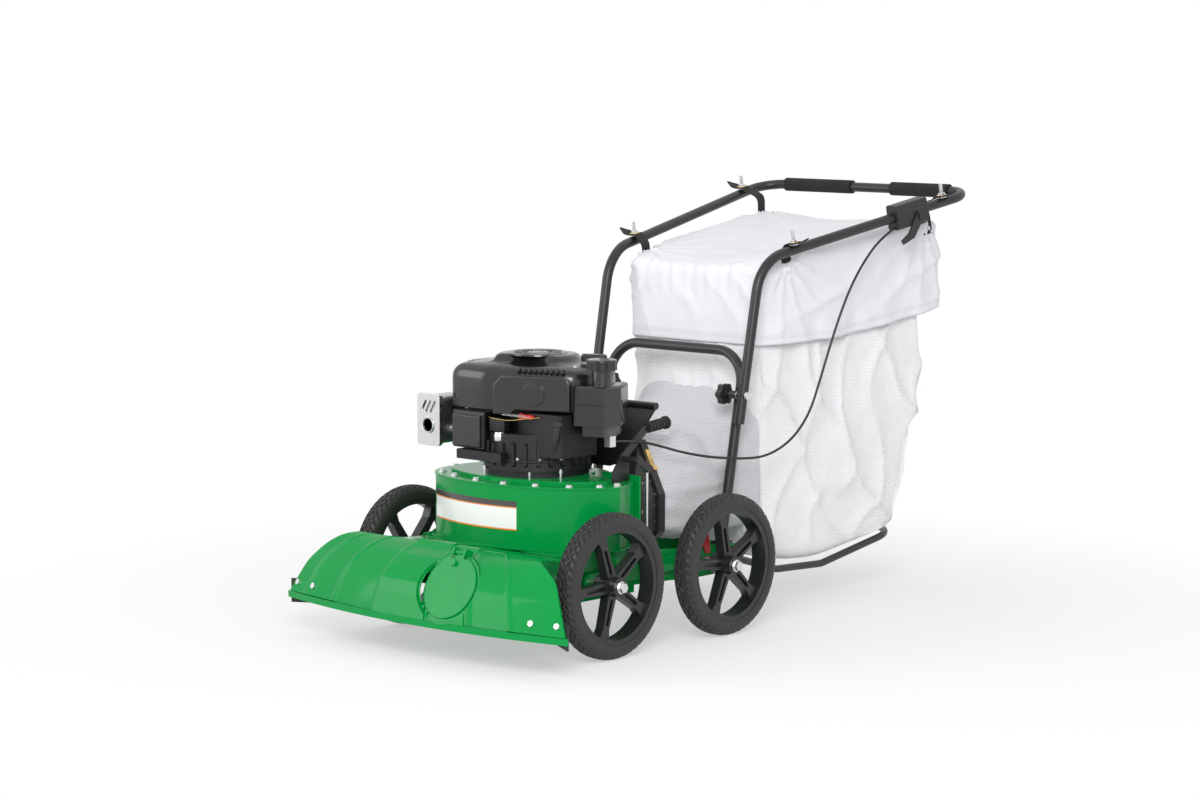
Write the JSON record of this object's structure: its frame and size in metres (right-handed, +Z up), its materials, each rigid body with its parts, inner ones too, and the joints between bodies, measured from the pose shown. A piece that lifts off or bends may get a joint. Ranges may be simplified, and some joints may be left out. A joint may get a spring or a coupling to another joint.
{
  "type": "leaf vacuum mulcher",
  "caption": "Walk-behind leaf vacuum mulcher with a wide suction nozzle, engine-driven impeller, rear collection bag and folding push handle.",
  "frame": {"origin": "centre of the footprint, on the ground", "axes": "+X to the operator's left, +Y to the rear, towards the operator, +Z up"},
  "size_m": [0.82, 1.5508, 0.9413],
  "materials": {
    "green_paint": "gloss",
    "black_paint": "satin",
    "black_plastic": "satin",
    "engine_plastic": "semi-gloss",
    "tyre_rubber": "matte",
    "wheel_plastic": "satin",
    "foam": "matte foam",
    "rubber": "matte",
    "zinc": "zinc plated",
    "steel": "bare",
    "cast_alloy": "cast",
    "guard_steel": "brushed",
    "brass": "bright",
    "bag_cloth": "woven",
    "strap": "woven",
    "red_plastic": "gloss"
  },
  "bodies": {
    "machine": {"frame": "green_paint", "rear_axle": "steel", "rear_axle_hardware": "zinc", "lower_handle": "black_paint", "handle_bolts": "zinc", "bag_support": "black_paint", "bag": "bag_cloth", "sleeve_clamp": "black_plastic", "chute": "black_plastic", "scroll_housing": "green_paint", "scroll_cover": "green_paint", "zinc_bolts": "zinc", "nozzle": "green_paint", "nozzle_bolts": "zinc", "nozzle_skirt": "rubber", "engine_block": "cast_alloy", "valve_cover": "cast_alloy", "blower_shroud": "engine_plastic", "engine_cover": "engine_plastic", "fuel_tank": "engine_plastic", "muffler": "steel", "muffler_guard": "guard_steel", "air_cleaner": "engine_plastic", "guard_plate": "black_paint", "lever_bracket": "black_paint", "cable_clamp": "zinc", "throttle_cable": "black_plastic"},
    "front_arms": {"swing_arms": "green_paint", "front_axle_hardware": "zinc"},
    "rotor": {"crankshaft": "steel", "flywheel": "cast_alloy", "impeller": "steel", "impeller_bolt": "zinc"},
    "upper_handle": {"upper_handle": "black_paint", "handle_grips": "foam", "bag_studs": "zinc", "bag_straps": "strap", "throttle_housing": "black_plastic"},
    "throttle_lever": {"throttle_lever": "black_plastic"},
    "left_knob": {"star_knob_left": "black_plastic"},
    "right_knob": {"star_knob_right": "black_plastic"},
    "height_lever": {"height_lever": "black_paint", "lever_grip": "rubber"},
    "lift_link": {"lift_link": "zinc"},
    "starter_grip": {"starter_grip": "engine_plastic"},
    "fuel_cap": {"fuel_cap": "engine_plastic"},
    "port_cover": {"port_cover": "green_paint"},
    "clamp_latch": {"clamp_latch": "brass"},
    "throttle_arm": {"throttle_arm": "zinc"},
    "fuel_valve_knob": {"fuel_valve_knob": "red_plastic"},
    "brake_tab": {"brake_tab": "red_plastic"},
    "wheel_front_left": {"wheel_front_left": "wheel_plastic", "tyre_front_left": "tyre_rubber"},
    "wheel_front_right": {"wheel_front_right": "wheel_plastic", "tyre_front_right": "tyre_rubber"},
    "wheel_rear_left": {"wheel_rear_left": "wheel_plastic", "tyre_rear_left": "tyre_rubber"},
    "wheel_rear_right": {"wheel_rear_right": "wheel_plastic", "tyre_rear_right": "tyre_rubber"}
  },
  "joints": [
    {"name": "front_left_wheel_spin", "type": "hinge", "parent": "front_arms", "child": "wheel_front_left", "pos_m": [0.295, -0.4734, 0.1524], "axis": [1, 0, 0], "continuous": true},
    {"name": "front_right_wheel_spin", "type": "hinge", "parent": "front_arms", "child": "wheel_front_right", "pos_m": [-0.295, -0.4734, 0.1524], "axis": [1, 0, 0], "continuous": true},
    {"name": "rear_left_wheel_spin", "type": "hinge", "parent": "machine", "child": "wheel_rear_left", "pos_m": [0.295, -0.106, 0.1524], "axis": [1, 0, 0], "continuous": true},
    {"name": "rear_right_wheel_spin", "type": "hinge", "parent": "machine", "child": "wheel_rear_right", "pos_m": [-0.295, -0.106, 0.1524], "axis": [1, 0, 0], "continuous": true},
    {"name": "height_lever_tilt", "type": "hinge", "parent": "machine", "child": "height_lever", "pos_m": [0.19, -0.3234, 0.392], "axis": [1, 0, 0], "range_deg": [0, 24]},
    {"name": "front_arm_swing", "type": "hinge", "parent": "machine", "child": "front_arms", "pos_m": [0, -0.1834, 0.165], "axis": [1, 0, 0], "range_deg": [-8.5, 0.5]},
    {"name": "lift_link_pivot", "type": "hinge", "parent": "height_lever", "child": "lift_link", "pos_m": [0.233, -0.2914, 0.372], "axis": [1, 0, 0], "range_deg": [-25, 1]},
    {"name": "rotor_spin", "type": "hinge", "parent": "machine", "child": "rotor", "pos_m": [0, -0.3784, 0.3], "axis": [0, 0, 1], "continuous": true},
    {"name": "handle_fold", "type": "hinge", "parent": "machine", "child": "upper_handle", "pos_m": [0, 0.0406, 0.497], "axis": [1, 0, 0], "range_deg": [0, 120]},
    {"name": "throttle_lever_turn", "type": "hinge", "parent": "upper_handle", "child": "throttle_lever", "pos_m": [0.30178, 0.56121, 0.87011], "axis": [0.9907, -0.1358, 0], "range_deg": [-35, 10]},
    {"name": "left_knob_turn", "type": "hinge", "parent": "machine", "child": "left_knob", "pos_m": [0.17, 0.0406, 0.497], "axis": [1, 0, 0], "continuous": true},
    {"name": "right_knob_turn", "type": "hinge", "parent": "machine", "child": "right_knob", "pos_m": [-0.17, 0.0406, 0.497], "axis": [1, 0, 0], "continuous": true},
    {"name": "starter_pull", "type": "slide", "parent": "machine", "child": "starter_grip", "axis": [0, 0, 1], "range_m": [0, 0.085]},
    {"name": "fuel_cap_turn", "type": "hinge", "parent": "machine", "child": "fuel_cap", "pos_m": [0.197, -0.3934, 0.59], "axis": [0, 0, 1], "continuous": true},
    {"name": "port_cover_lift", "type": "hinge", "parent": "machine", "child": "port_cover", "pos_m": [0.094, -0.70614, 0.22765], "axis": [-1, 0, 0], "range_deg": [0, 100]},
    {"name": "clamp_latch_open", "type": "hinge", "parent": "machine", "child": "clamp_latch", "pos_m": [0.16205, -0.2114, 0.39659], "axis": [0, -1, 0], "range_deg": [0, 60]},
    {"name": "throttle_arm_turn", "type": "hinge", "parent": "machine", "child": "throttle_arm", "pos_m": [0.1515, -0.3814, 0.462], "axis": [1, 0, 0], "range_deg": [-36, 11]},
    {"name": "fuel_valve_turn", "type": "hinge", "parent": "machine", "child": "fuel_valve_knob", "pos_m": [0.04, -0.4694, 0.482], "axis": [0, 1, 0], "range_deg": [0, 90]},
    {"name": "brake_tab_turn", "type": "hinge", "parent": "machine", "child": "brake_tab", "pos_m": [0.23, -0.0874, 0.174], "axis": [1, 0, 0], "range_deg": [0, 20]}
  ],
  "couplings": [
    {"joint": "front_arm_swing", "follows": "height_lever_tilt", "ratio": -0.333},
    {"joint": "lift_link_pivot", "follows": "height_lever_tilt", "ratio": -1},
    {"joint": "throttle_arm_turn", "follows": "throttle_lever_turn", "ratio": 1}
  ]
}
